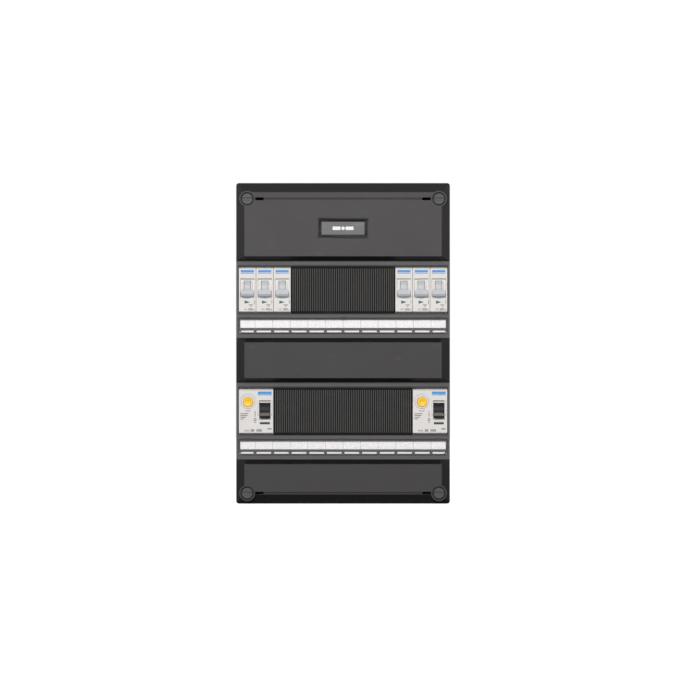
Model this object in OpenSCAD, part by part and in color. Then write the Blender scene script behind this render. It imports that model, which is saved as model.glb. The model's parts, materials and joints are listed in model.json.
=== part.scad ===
// Surface-mounted consumer unit with two rows of twelve modules.
// +X is to the right and +Z is up. The wall is the plane y = 0, and the front faces -Y.
// The origin is the centre of the box's back, which is the centre of its wall holes.

/* [Box] */
// Overall width of the box
box_w = 220; // [219:0.5:224]
// Overall height of the box
box_h = 330; // [328:0.5:336]
// Depth from the wall to the front of the raised panels
box_d = 90; // [88:0.5:94]
// Depth of the base, where it meets the cover
base_d = 52; // [50:0.5:53]
// Wall thickness of the base and the cover
wall = 2.2; // [2:0.1:2.4]
// Thickness of the base's back
back_t = 3; // [2.5:0.5:4]
// Radius of the box's four long corners
corner_r = 3; // [2:0.5:4]
// Distance from the wall to the front of the sunken device rows
valley_d = 75; // [74.5:0.1:75.5]

/* [Rows] */
// Width of one device module
pitch = 17.9; // [17.8:0.01:17.9]
// Height of the upper row's centre above the box's centre
row_z_upper = 55; // [54:0.5:56]
// Height of the lower row's centre, below the box's centre
row_z_lower = -70; // [-71:0.5:-69]
// Height of the opening for the devices' noses
aperture_h = 46.7; // [46:0.1:48]
// Distance from the wall to the front of the rail
rail_front = 26; // [25.5:0.5:26]

/* [Moving parts] */
// Angle of a switched-off toggle below the horizontal
toggle_rest = 27; // [25:1:28]
// Clearance between a toggle's drum and its case
drum_gap = 0.3; // [0.3:0.05:0.4]
// Clearance between a pin and its bore
pin_gap = 0.05; // [0.03:0.01:0.08]
// Radius of a test button
button_r = 5.2; // [4.8:0.1:5.4]
// Free travel of a DIN latch
latch_travel = 4; // [3:0.5:4]

/* [Fixings] */
// Radius of the four wall holes
wall_hole_r = 2.75; // [2.5:0.25:3]
// Distance between the wall holes across the box
wall_hole_dx = 160; // [150:1:164]
// Distance between the wall holes up the box
wall_hole_dz = 250; // [240:1:252]
// Radius of a conduit entry
entry_r = 8.1; // [8:0.05:8.3]
// Length of a conduit entry
entry_len = 10; // [8:1:12]

/* [Hidden] */
eps = 0.01;
gap = 0.4;
modules = 12;
device_gap = 0.3;
inner_x = box_w / 2 - wall;
inner_z = box_h / 2 - wall;
row_zs = [row_z_upper, row_z_lower];

// Raised panels: height of each one's lower and upper edge at the sunken level, then the runs of its
// lower and upper slopes.
bevel_top = 10;
step_run = 4.6;
side_run = 8.7;
panels = [
    [row_z_upper + 29.6, box_h / 2, step_run, bevel_top],
    [row_z_lower + 29.6, row_z_upper - 49.4, step_run, step_run],
    [-box_h / 2, row_z_lower - 49.4, bevel_top, step_run],
];
rise = box_d - valley_d;

// Quarter-turn screws and the posts under them.
screw_x = 98.4;
screw_z_top = 148.2;
screw_z_bottom = -153.7;
screw_head_r = 5.6;
screw_head_t = 4.6;
screw_shaft_r = 3;
boss_r = 8.4;
counterbore_r = 6.6;
counterbore_floor = box_d - 5.6;
post_r = 6;
post_front = base_d - 2;
post_bore_r = 3.4;
post_bore_depth = 12;
seal_slot = [8.5, 2.6];
seal_slot_x = 85.8;
groove_w = 1.6;
groove_d = 0.8;

// Badge and its pocket.
badge = [44.4, 13.5];
badge_z = 118;
badge_floor = box_d - 1.6;

// Sloped rim of a device opening.
rim_run = 2.3;
rim_d = 2;

// DIN rail of 35 by 7.5 mm.
rail_len = 208;
rail_h = 35;
rail_depth = 7.5;
rail_t = 1;
rail_web = 27;
rail_screw_xs = [-92, 0, 92];
rail_screw_r = 2;

// Device cases, in millimetres from the wall and from the row's centre.
case_back = 21;
case_shoulder = 70;
case_nose = 77.5;
case_half_h = 40;
nose_half_h = 22.7;
case_chamfer = 2;
nose_edge = [1.4, 0.8];
hook_h = 2.4;
toggle_y = -67;
drum_r = 9;
axle_r = 1.2;
axle_len = 1.2;

// Breakers.
mcb_w = pitch - device_gap;
mcb_modules_left = [0, 1, 2];
mcb_modules_right = [9, 10, 11];
mcb_toggle_z = 2.5;
mcb_neck_w = 6.6;
mcb_grip_w = 13.6;
mcb_grip = [10.9, 18];
mcb_grip_half_t = [2.5, 1.55];
mcb_pocket_w = 14.6;
mcb_pocket_z = [-7.6, 11.7];
mcb_pocket_d = 4.2;
mcb_smile_r = 6.5;
mcb_smile_z = -2.4;
mcb_collar_r = 8.9;
mcb_collar_x = [3.6, 5.2];
mcb_flag_z = -12.6;
mcb_flag_len = 6;
mcb_flag_window = [[-2.8, -1.6], [2.8, 0], [-2.8, 1.6]];
mcb_terminal_x = 4.3;
terminal_pocket = [6.6, 13];
terminal_y = -53.5;
terminal_deep = 14;
terminal_z = 33;

// Residual-current breakers.
rcd_w = 2 * pitch - device_gap;
rcd_toggle_x = 9.1;
rcd_toggle_z = 1.4;
rcd_toggle_w = 10.9;
rcd_grip = [10, 17];
rcd_grip_half_t = [2.1, 1];
rcd_pocket_w = 11.5;
rcd_pocket_z = [-8.3, 11.2];
rcd_pocket_d = 4.5;
rcd_cheek_x = [5.75, 7.4];
rcd_cheek_z = [-4.4, 12];
rcd_cheek_d = 1.1;
rcd_flag_z = -12.2;
rcd_flag_len = 10.6;
rcd_flag_window = [10.2, 2.2];
rcd_terminal_x = 9;
button_x = -8.3;
button_z = 9.7;
button_front = 79.2;
button_back = button_front - 9;
button_travel = 2;
button_ring_r = 6.9;
button_ring_d = 0.6;
button_dish_r = [7.2, 8.6];
button_dish_d = 0.8;
stem_r = 1.6;
stem_len = 7;
spring_r = 3.2;
spring_wire_r = 0.35;
spring_room = 4.6;
spring_turns = 3;

// Contact flags.
flag_r = 3;
flag_sink = 0.6;
flag_y = -(case_nose - flag_sink - flag_r);
flag_axle_r = 0.6;
flag_axle_len = 0.8;

// DIN latches.
latch_w = 8;
latch_t = 2.7;
latch_y = -24.7;
latch_top = -15.5;
latch_bottom = -43;
latch_eye_r = 1.4;
latch_side_gap = 0.3;

// Labels, measured down from the row's centre.
label_pivot = -30.3;
label_bottom = -44.7;
label_half_w = 107;
label_pivot_y = -75.4;
label_bead_r = 0.9;
label_t = 1.8;
label_front = 76.3;
label_corner_r = 5;
label_window = [-39.1, -30.9];
label_window_half_w = 105.8;
label_pane_t = 0.8;
label_pitch = 18.12;
label_slot = [15.1, 2.2];
label_slot_end = 105.1;
label_slot_z = -42.5;
label_lug_xs = [-98, 0, 98];
label_lug_w = 5;
label_lug_r = 1.3;
label_lug_out = 0.3;
label_pin_r = 0.6;
label_pin_len = 1.4;
label_pocket_d = 1.2;
label_pocket_margin = 0.5;
label_pad_t = 1;
card_t = 0.3;

// Blanking strips.
rib_pitch = pitch / 8;
rib_d = 1.2;
rib_half_h = 22;
strip_gap = 0.4;
strip_flange = 0.95;
strip_back = 71.5;
strip_hook = [8, 1.4];

// Combs, wires and the earth bar.
comb_t = 1.5;
comb_ys = [-49.7, -57.8];
comb_z = [4, 12];
comb_tooth_w = 3;
wire_r = 1.9;
wire_y = -53.75;
earth_z = 128;
earth_half_len = 60;
earth_side = 8;
earth_back = 12;
earth_post_x = 54;
earth_screws = 10;
earth_pitch = 11;

function module_x(first, count = 1) = (first + count / 2 - modules / 2) * pitch;
mcb_xs = [for (m = concat(mcb_modules_left, mcb_modules_right)) module_x(m)];
rcd_xs = [module_x(0, 2), module_x(modules - 2, 2)];

// ---- helpers ----

// Draws a flat shape in X and Z, carried from y_from forward to y_to, both as distances from the wall.
module forward(y_from, y_to) {
    translate([0, -y_from, 0])
        rotate([90, 0, 0])
            linear_extrude(y_to - y_from)
                children();
}

// Carries a profile in Y and Z along X, centred on x.
module across(width, x = 0) {
    translate([x - width / 2, 0, 0])
        rotate([90, 0, 90])
            linear_extrude(width)
                children();
}

module pin_x(r, length, x, y, z) {
    translate([x - length / 2, y, z])
        rotate([0, 90, 0])
            cylinder(r = r, h = length, $fn = 48);
}

// A round bar along Y from one distance to another.
module pin_y(r, y_from, y_to, x, z) {
    translate([x, -y_from, z])
        rotate([90, 0, 0])
            cylinder(r = r, h = y_to - y_from, $fn = 48);
}

module pin_z(r, length, x, y, z) {
    translate([x, y, z])
        cylinder(r = r, h = length, $fn = 48);
}

// A box by its lowest and highest corners.
module block(low, high) {
    translate(low)
        cube(high - low);
}

module rounded_rect(w, h, r) {
    square([w - 2 * r, h], center = true);
    square([w, h - 2 * r], center = true);
    for (x = [-1, 1], z = [-1, 1])
        translate([x * (w / 2 - r), z * (h / 2 - r)])
            circle(r = r, $fn = 48);
}

// ---- box ----

// A raised panel with four sloping sides. inset moves its slopes inward, and from and to are
// distances from the wall.
module raised_panel(p, from, to, inset) {
    grow = (valley_d - from) / rise;
    shrink = (to - valley_d) / rise;
    end_shift = inset * norm([p[2], rise]) / rise;
    top_shift = inset * norm([p[3], rise]) / rise;
    side_shift = inset * norm([side_run, rise]) / rise;
    wide = box_w / 2 - side_shift;
    intersection() {
        across(box_w + 2)
            polygon([
                [-from, p[0] + end_shift - p[2] * grow],
                [-to, p[0] + end_shift + p[2] * shrink],
                [-to, p[1] - top_shift - p[3] * shrink],
                [-from, p[1] - top_shift + p[3] * grow],
            ]);
        translate([0, 0, -box_h / 2 - 1])
            linear_extrude(box_h + 2)
                polygon([
                    [-wide - side_run * grow, -from],
                    [-wide + side_run * shrink, -to],
                    [wide - side_run * shrink, -to],
                    [wide + side_run * grow, -from],
                ]);
        forward(from - 1, to + 1)
            rounded_rect(box_w - 2 * inset, box_h - 2 * inset, max(corner_r - inset, 0.6));
    }
}

screw_places = [
    for (side = [-1, 1], z = [screw_z_top, screw_z_bottom]) [side * screw_x, z]
];

module base() color([0.2, 0.2, 0.2]) {
    entries_top = [-72, -36, 0, 36, 72];
    entries_bottom = [-36, 0, 36];
    entry_y = -32;
    collar_r = entry_r + wall;
    difference() {
        union() {
            difference() {
                forward(0, base_d) rounded_rect(box_w, box_h, corner_r);
                forward(back_t, base_d + 1) rounded_rect(2 * inner_x, 2 * inner_z, corner_r - wall);
            }
            for (p = screw_places)
                pin_y(post_r, back_t - 1, post_front, p[0], p[1]);
            for (x = [-1, 1], z = [-1, 1])
                pin_y(7, back_t - 1, back_t + 2, x * wall_hole_dx / 2, z * wall_hole_dz / 2);
            for (z = row_zs, x = rail_screw_xs)
                block([x - 9, -(rail_front - rail_depth), z - 10], [x + 9, -back_t + 1, z + 10]);
            for (x = [-earth_post_x, earth_post_x])
                block([x - 6, -earth_back, earth_z - 6], [x + 6, -back_t + 1, earth_z + 6]);
            for (x = entries_top)
                pin_z(collar_r, entry_len, x, entry_y, box_h / 2 - entry_len);
            for (x = entries_bottom)
                pin_z(collar_r, entry_len, x, entry_y, -box_h / 2);
        }
        for (p = screw_places)
            pin_y(post_bore_r, post_front - post_bore_depth, post_front + 1, p[0], p[1]);
        for (x = [-1, 1], z = [-1, 1])
            pin_y(wall_hole_r, -1, back_t + 3, x * wall_hole_dx / 2, z * wall_hole_dz / 2);
        for (z = row_zs, x = rail_screw_xs)
            pin_y(rail_screw_r + pin_gap, back_t + 2, rail_front, x, z);
        for (x = entries_top)
            pin_z(entry_r, entry_len + 2, x, entry_y, box_h / 2 - entry_len - 1);
        for (x = entries_bottom)
            pin_z(entry_r, entry_len + 2, x, entry_y, -box_h / 2 - 1);
    }
}

module cover_cavity() {
    forward(base_d - 1, valley_d - wall)
        rounded_rect(2 * inner_x, 2 * inner_z, corner_r - wall);
    for (p = panels)
        raised_panel(p, valley_d - wall - 1, box_d - wall, wall);
}

// The opening for a row of noses, with rims that slope down towards the devices.
module device_opening(row_z) {
    half = aperture_h / 2;
    block([-inner_x + eps, -valley_d - 1, row_z - half], [inner_x - eps, -base_d, row_z + half]);
    across(2 * (inner_x - eps))
        polygon([
            [-valley_d - 1, row_z - half - rim_run * (1 + 1 / rim_d)],
            [-valley_d + rim_d, row_z - half],
            [-valley_d + rim_d, row_z + half],
            [-valley_d - 1, row_z + half + rim_run * (1 + 1 / rim_d)],
        ]);
}

// The shallow pocket of a label flap, with notches for its three lugs and holes for its two pins.
module label_pocket(row_z) {
    top = row_z + label_pivot + label_bead_r + label_pocket_margin;
    bottom = row_z + label_bottom - label_pocket_margin;
    half = label_half_w + label_pocket_margin;
    pocket_floor = valley_d - label_pocket_d;
    block([-half, -valley_d - 1, bottom], [half, -pocket_floor, top]);
    for (x = label_lug_xs)
        block([x - label_lug_w / 2 - gap, -valley_d - 1, top - 1],
              [x + label_lug_w / 2 + gap, -pocket_floor, top + 0.8]);
    pin_x(label_pin_r + pin_gap, 2 * (label_half_w + label_pin_len + gap), 0, label_pivot_y,
          row_z + label_pivot);
}

module badge_pocket() {
    slope = 4;
    depth = box_d - badge_floor;
    half_w = badge[0] / 2 + gap;
    half_h = badge[1] / 2 + gap;
    out = slope * (1 + 1 / depth);
    intersection() {
        across(badge[0] + 4 * slope + 4)
            polygon([
                [-badge_floor, badge_z - half_h], [-box_d - 1, badge_z - half_h - out],
                [-box_d - 1, badge_z + half_h + out], [-badge_floor, badge_z + half_h],
            ]);
        translate([0, 0, badge_z - badge[1] - slope])
            linear_extrude(2 * (badge[1] + slope))
                polygon([
                    [-half_w, -badge_floor], [-half_w - out, -box_d - 1],
                    [half_w + out, -box_d - 1], [half_w, -badge_floor],
                ]);
    }
}

module front_cover() color([0.3, 0.3, 0.3]) {
    skirt = base_d + gap;
    tab_t = 1.6;
    tab_w = 16;
    tab_gap = 0.3;
    tab_back = base_d - 6;
    pad_back = valley_d - wall - label_pad_t;
    difference() {
        union() {
            difference() {
                union() {
                    forward(skirt, valley_d) rounded_rect(box_w, box_h, corner_r);
                    for (p = panels)
                        raised_panel(p, valley_d - 1, box_d, 0);
                }
                cover_cavity();
            }
            for (z = row_zs)
                block([-inner_x - 1, -valley_d + wall, z + label_bottom - 2],
                      [inner_x + 1, -pad_back, z + label_pivot + 2.5]);
            for (p = screw_places)
                pin_y(boss_r, counterbore_floor - 3, box_d, p[0], p[1]);
            block([-badge[0] / 2 - 5, -box_d + wall, badge_z - badge[1] / 2 - 5],
                  [badge[0] / 2 + 5, -badge_floor + wall, badge_z + badge[1] / 2 + 5]);
            for (x = [-60, 0, 60], side = [-1, 1]) {
                outer = side * (inner_z - tab_gap);
                inner = side * (inner_z - tab_gap - tab_t);
                root = side * (inner_z + 1);
                block([x - tab_w / 2, -skirt - 6, min(outer, inner)],
                      [x + tab_w / 2, -tab_back, max(outer, inner)]);
                block([x - tab_w / 2, -skirt - 6, min(root, inner)],
                      [x + tab_w / 2, -skirt - 1, max(root, inner)]);
            }
        }
        for (z = row_zs) {
            device_opening(z);
            label_pocket(z);
        }
        badge_pocket();
        for (p = screw_places) {
            pin_y(counterbore_r, counterbore_floor, box_d + 1, p[0], p[1]);
            pin_y(screw_shaft_r + 0.3, counterbore_floor - 4, box_d, p[0], p[1]);
        }
        for (side = [-1, 1], z = [screw_z_top, screw_z_bottom])
            block([side * seal_slot_x - seal_slot[0] / 2, -box_d - 1, z - seal_slot[1] / 2],
                  [side * seal_slot_x + seal_slot[0] / 2, -box_d + wall + 1, z + seal_slot[1] / 2]);
        for (z = [screw_z_top, screw_z_bottom])
            block([-seal_slot_x, -box_d - 1, z - groove_w / 2],
                  [seal_slot_x, -box_d + groove_d, z + groove_w / 2]);
    }
}

module badge() color([0.4, 0.38, 0.4])
    forward(badge_floor, badge_floor + 1.1)
        translate([0, badge_z])
            rounded_rect(badge[0], badge[1], 0.8);

module cover_screw(x, z) color([0.22, 0.22, 0.22]) {
    head_back = counterbore_floor + gap;
    head_front = head_back + screw_head_t;
    difference() {
        union() {
            pin_y(screw_head_r, head_back, head_front, x, z);
            pin_y(screw_shaft_r, post_front - post_bore_depth + 2, head_back + 1, x, z);
            pin_y(4.6, counterbore_floor - 5.4, counterbore_floor - 3.6, x, z);
        }
        block([x - 5, -head_front - 1, z - 1.15], [x + 5, -head_front + 1.6, z + 1.15]);
    }
}

// ---- strips and labels ----

// Blanking strip over a run of unused modules, ribbed upright, with hooks behind the cover.
module blank_strip(row_z, first, count) color([0.16, 0.16, 0.16]) {
    x = module_x(first, count);
    half_w = count * pitch / 2 - strip_gap / 2;
    half_h = aperture_h / 2 - 0.25;
    flange_half_h = aperture_h / 2 + strip_flange;
    ribs = floor(2 * half_w / rib_pitch);
    rib_w = rib_pitch / 2;
    start = x - ribs * rib_pitch / 2 + rib_w / 2;
    block([x - half_w, -valley_d + 1, row_z - half_h], [x + half_w, -strip_back, row_z + half_h]);
    block([x - half_w, -valley_d, row_z - flange_half_h],
          [x + half_w, -valley_d + 1 + eps, row_z + flange_half_h]);
    translate([0, 0, row_z - rib_half_h])
        linear_extrude(2 * rib_half_h)
            polygon(concat(
                [[start, -valley_d + eps]],
                [for (i = [0 : ribs - 1]) each [
                    [start + i * rib_pitch, -valley_d - rib_d],
                    [start + i * rib_pitch + rib_w, -valley_d - rib_d],
                    [start + i * rib_pitch + rib_w, i == ribs - 1 ? -valley_d + eps : -valley_d],
                    if (i < ribs - 1) [start + (i + 1) * rib_pitch, -valley_d],
                ]]
            ));
    for (side = [-1, 1], hx = [x - half_w * 0.7, x + half_w * 0.7]) {
        edge = row_z + side * half_h;
        tip = edge + side * strip_hook[1];
        block([hx - strip_hook[0] / 2, -valley_d + wall, min(edge - side, tip)],
              [hx + strip_hook[0] / 2, -strip_back + 1.2, max(edge - side, tip)]);
    }
}

module label_card(row_z) color([0.95, 0.93, 0.92]) {
    pocket_floor = valley_d - label_pocket_d;
    block([-label_half_w + 0.6, -pocket_floor - card_t, row_z + label_bottom + 0.8],
          [label_half_w - 0.6, -pocket_floor, row_z + label_window[1] + 0.4]);
}

// Dark frame of a label flap: a hinge bead along its top, a window, and a rail with a row of slots.
module label_frame(row_z) color([0.2, 0.2, 0.2]) {
    label_back = label_front - label_t;
    pivot_z = row_z + label_pivot;
    low = row_z + label_bottom;
    difference() {
        union() {
            forward(label_back, label_front) {
                block2([-label_half_w, low + label_corner_r], [label_half_w, pivot_z]);
                block2([-label_half_w + label_corner_r, low],
                       [label_half_w - label_corner_r, low + label_corner_r + eps]);
                for (side = [-1, 1])
                    translate([side * (label_half_w - label_corner_r), low + label_corner_r])
                        circle(r = label_corner_r, $fn = 48);
            }
            pin_x(label_bead_r, 2 * label_half_w, 0, label_pivot_y, pivot_z);
            pin_x(label_pin_r, 2 * (label_half_w + label_pin_len), 0, label_pivot_y, pivot_z);
            for (x = label_lug_xs)
                pin_x(label_lug_r, label_lug_w, x, label_pivot_y - label_lug_out, pivot_z);
        }
        block([-label_window_half_w, -label_front - 1, row_z + label_window[0]],
              [label_window_half_w, -label_back + 1, row_z + label_window[1]]);
        for (m = [0 : modules - 1]) {
            x = (m + 0.5 - modules / 2) * label_pitch;
            block([max(x - label_slot[0] / 2, -label_slot_end), -label_front - 1,
                   row_z + label_slot_z - label_slot[1] / 2],
                  [min(x + label_slot[0] / 2, label_slot_end), -label_back + 1,
                   row_z + label_slot_z + label_slot[1] / 2]);
        }
    }
}

module block2(low, high) {
    translate(low)
        square(high - low);
}

module label_window(row_z) color([0.9, 0.9, 0.9, 0.4]) {
    label_back = label_front - label_t;
    block([-label_window_half_w, -label_back - 0.3 - label_pane_t, row_z + label_window[0]],
          [label_window_half_w, -label_back - 0.3, row_z + label_window[1]]);
}

// ---- rails, combs, wires and earth ----

module din_rail(row_z) color([0.75, 0.75, 0.72]) {
    web = rail_web / 2;
    flange = rail_h / 2;
    front = -rail_front;
    back = -(rail_front - rail_depth);
    slot = [15, 6.2];
    difference() {
        translate([0, 0, row_z])
            across(rail_len)
                polygon([
                    [front, -flange], [front + rail_t, -flange], [front + rail_t, -web], [back, -web],
                    [back, web], [front + rail_t, web], [front + rail_t, flange], [front, flange],
                    [front, web - rail_t], [back - rail_t, web - rail_t],
                    [back - rail_t, -web + rail_t], [front, -web + rail_t],
                ]);
        for (x = rail_screw_xs)
            pin_y(rail_screw_r + 0.25, rail_front - rail_depth - 1, rail_front, x, row_z);
        for (x = [-69, -46, -23, 23, 46, 69])
            block([x - slot[0] / 2, front, row_z - slot[1] / 2],
                  [x + slot[0] / 2, back + 1, row_z + slot[1] / 2]);
    }
}

module rail_screws() color([0.8, 0.8, 0.78]) {
    seat = rail_front - rail_depth + rail_t;
    for (z = row_zs, x = rail_screw_xs)
        difference() {
            union() {
                pin_y(3.8, seat, seat + 2.4, x, z);
                pin_y(rail_screw_r, back_t + 3, seat + 1, x, z);
            }
            block([x - 2.6, -seat - 3, z - 0.5], [x + 2.6, -seat - 1.3, z + 0.5]);
            block([x - 0.5, -seat - 3, z - 2.6], [x + 0.5, -seat - 1.3, z + 2.6]);
        }
}

function earth_screw_x(i) = (i - (earth_screws - 1) / 2) * earth_pitch;

module earth_bar() color([0.8, 0.65, 0.3])
    difference() {
        block([-earth_half_len, -earth_back - earth_side, earth_z - earth_side / 2],
              [earth_half_len, -earth_back, earth_z + earth_side / 2]);
        for (i = [0 : earth_screws - 1]) {
            pin_y(2.1, earth_back + 3, earth_back + earth_side + 1, earth_screw_x(i), earth_z);
            pin_z(2.5, earth_side + 2, earth_screw_x(i), -earth_back - 3.2,
                  earth_z - earth_side / 2 - 1);
        }
    }

module earth_bar_screws() color([0.75, 0.75, 0.73]) {
    top = earth_back + earth_side;
    for (i = [0 : earth_screws - 1])
        difference() {
            union() {
                pin_y(2.05, earth_back + 5.8, top + 1, earth_screw_x(i), earth_z);
                pin_y(3, top + 0.8, top + 2.6, earth_screw_x(i), earth_z);
            }
            block([earth_screw_x(i) - 4, -top - 3, earth_z - 0.45],
                  [earth_screw_x(i) + 4, -top - 1.6, earth_z + 0.45]);
        }
}

// Two copper combs under each group of three breakers, one behind the other.
module busbar_combs() color([0.8, 0.45, 0.3])
    for (group = [[0, 1, 2], [3, 4, 5]], pole = [0, 1]) {
        y = comb_ys[pole];
        offset_x = (pole == 0 ? -1 : 1) * mcb_terminal_x;
        first = mcb_xs[group[0]] + offset_x;
        last = mcb_xs[group[2]] + offset_x;
        bottom = row_z_upper - case_half_h;
        block([first - comb_tooth_w / 2, y - comb_t / 2, comb_z[0]],
              [last + comb_tooth_w / 2, y + comb_t / 2, comb_z[1]]);
        for (i = group)
            block([mcb_xs[i] + offset_x - comb_tooth_w / 2, y - comb_t / 2, comb_z[1] - 1],
                  [mcb_xs[i] + offset_x + comb_tooth_w / 2, y + comb_t / 2, bottom + 10]);
    }

// An insulated wire from a lower device's top terminal up to a breaker's bottom terminal. Its middle
// leans from x_low to x_high as a smooth step, and a ring of the tube stands on each of its points.
module wire(x_low, x_high) {
    low_end = row_z_lower + case_half_h - 10;
    high_end = row_z_upper - case_half_h + 9;
    sides = 12;
    rings = 24;
    turn = 360 / sides;
    reach = x_high - x_low;
    lean = [for (i = [0 : rings]) max(0, min(1, (i / rings - 0.15) / 0.7))];
    heights = [for (i = [0 : rings]) low_end + (high_end - low_end) * i / rings];
    slope = [
        for (t = lean) reach * 6 * t * (1 - t) / 0.7 / (high_end - low_end)
    ];
    points = [
        for (i = [0 : rings]) for (k = [0 : sides - 1])
            let (t = lean[i], out = wire_r * cos(k * turn), tilt = atan(slope[i]))
                [x_low + reach * t * t * (3 - 2 * t) + out * cos(tilt),
                 wire_y + wire_r * sin(k * turn),
                 heights[i] - out * sin(tilt)]
    ];
    polyhedron(points, concat(
        [[for (k = [0 : sides - 1]) k]],
        [for (i = [0 : rings - 1]) for (k = [0 : sides - 1])
            [i * sides + k, (i + 1) * sides + k,
             (i + 1) * sides + (k + 1) % sides, i * sides + (k + 1) % sides]],
        [[for (k = [sides - 1 : -1 : 0]) rings * sides + k]]
    ));
}

// Each wire goes to the first or last breaker terminal that lies above its own.
module wires_live() color([0.4, 0.25, 0.15]) {
    wire(rcd_xs[0] - rcd_terminal_x, mcb_xs[0] - mcb_terminal_x);
    wire(rcd_xs[1] - rcd_terminal_x, mcb_xs[4] - mcb_terminal_x);
}

module wires_neutral() color([0.15, 0.3, 0.7]) {
    wire(rcd_xs[0] + rcd_terminal_x, mcb_xs[1] + mcb_terminal_x);
    wire(rcd_xs[1] + rcd_terminal_x, mcb_xs[5] + mcb_terminal_x);
}

module terminal_screw(x, z, r) {
    head = case_shoulder - 1.6;
    difference() {
        pin_y(r, head - 5.5, head, x, z);
        block([x - r - 1, -head - 1, z - 0.4], [x + r + 1, -head + 1, z + 0.4]);
    }
}

module terminal_screws() color([0.75, 0.75, 0.73]) {
    for (x = mcb_xs, dx = [-1, 1], dz = [-1, 1])
        terminal_screw(x + dx * mcb_terminal_x, row_z_upper + dz * terminal_z, 2.2);
    for (x = rcd_xs, dx = [-1, 1], dz = [-1, 1])
        terminal_screw(x + dx * rcd_terminal_x, row_z_lower + dz * terminal_z, 2.6);
}

// ---- devices ----

// Side view of a device case, with the rail's slot and the fixed hook in its back.
module case_profile() {
    c = case_chamfer;
    seat = rail_front + 0.1;
    slot_top = rail_h / 2 + 0.3;
    slot_bottom = -rail_h / 2 - 0.9;
    hook_front = rail_front - rail_t - 0.3;
    polygon([
        [-case_back, case_half_h - c], [-case_back, slot_top - hook_h],
        [-hook_front, slot_top - hook_h], [-hook_front, slot_top], [-seat, slot_top],
        [-seat, slot_bottom], [-case_back, slot_bottom], [-case_back, -case_half_h + c],
        [-case_back - c, -case_half_h], [-case_shoulder + c, -case_half_h],
        [-case_shoulder, -case_half_h + c], [-case_shoulder, -nose_half_h],
        [-case_nose + nose_edge[1], -nose_half_h], [-case_nose, -nose_half_h + nose_edge[1]],
        [-case_nose, nose_half_h - nose_edge[0]], [-case_nose + nose_edge[0], nose_half_h],
        [-case_shoulder, nose_half_h], [-case_shoulder, case_half_h - c],
        [-case_shoulder + c, case_half_h], [-case_back - c, case_half_h],
    ]);
}

// What every case has cut out of it: terminals, the latch's channel and the drum's housing.
module case_cuts(terminal_x, screw_r, drum_x, drum_w, drum_z) {
    channel = latch_w / 2 + latch_side_gap;
    for (x = [-1, 1], z = [-1, 1]) {
        end = z * (case_half_h + 1);
        deep = z * (case_half_h - terminal_deep);
        block([x * terminal_x - terminal_pocket[0] / 2, terminal_y - terminal_pocket[1] / 2,
               min(end, deep)],
              [x * terminal_x + terminal_pocket[0] / 2, terminal_y + terminal_pocket[1] / 2,
               max(end, deep)]);
        pin_y(screw_r, -terminal_y, case_shoulder + 1, x * terminal_x, z * terminal_z);
    }
    block([-channel, latch_y - latch_side_gap, -case_half_h - 1],
          [channel, -case_back + 1, -rail_h / 2]);
    pin_x(drum_r + drum_gap, drum_w + 2 * drum_gap, drum_x, toggle_y, drum_z);
    pin_x(axle_r + pin_gap, drum_w + 2 * axle_len + 2 * drum_gap + 0.4, drum_x, toggle_y, drum_z);
}

// The recess in a case's face that its toggle swings in.
module toggle_pocket(x, width, z, depth)
    block([x - width / 2, -case_nose - 1, z[0]], [x + width / 2, -case_nose + depth, z[1]]);

// Housing and bearing of a contact flag.
module flag_housing(length, x, z) {
    pin_x(flag_r + drum_gap, length + 2 * drum_gap, x, flag_y, z);
    pin_x(flag_axle_r + pin_gap, length + 2 * flag_axle_len + 2 * drum_gap + 0.4, x, flag_y, z);
}

module mcb_case(x) color([0.88, 0.87, 0.85])
    translate([x, 0, row_z_upper])
        difference() {
            across(mcb_w) case_profile();
            case_cuts(mcb_terminal_x, 2.5, 0, mcb_neck_w, mcb_toggle_z);
            difference() {
                union() {
                    toggle_pocket(0, mcb_pocket_w, mcb_pocket_z, mcb_pocket_d);
                    pin_y(mcb_smile_r, case_nose - mcb_pocket_d, case_nose + 1, 0, mcb_smile_z);
                }
                for (side = [-1, 1])
                    pin_x(mcb_collar_r, mcb_collar_x[1] - mcb_collar_x[0],
                          side * (mcb_collar_x[0] + mcb_collar_x[1]) / 2, toggle_y, mcb_toggle_z);
            }
            flag_housing(mcb_flag_len, 0, mcb_flag_z);
            translate([0, 0, mcb_flag_z])
                forward(case_nose - flag_sink - 1, case_nose + 1)
                    polygon(mcb_flag_window);
        }

// A shallow conical dish round the test button's ring.
module button_dish() {
    slope = (button_dish_r[1] - button_dish_r[0]) / button_dish_d;
    translate([button_x, -case_nose + button_dish_d, button_z])
        rotate([90, 0, 0])
            cylinder(r1 = button_dish_r[0], r2 = button_dish_r[1] + slope, h = button_dish_d + 1, $fn = 48);
}

// Side view of the raised rim beside a residual-current breaker's toggle.
module toggle_cheek() {
    slope = 1.6;
    polygon([
        [-case_nose + 1, rcd_cheek_z[0]], [-case_nose, rcd_cheek_z[0]],
        [-case_nose - rcd_cheek_d, rcd_cheek_z[0] + slope],
        [-case_nose - rcd_cheek_d, rcd_cheek_z[1] - slope],
        [-case_nose, rcd_cheek_z[1]], [-case_nose + 1, rcd_cheek_z[1]],
    ]);
}

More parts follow.
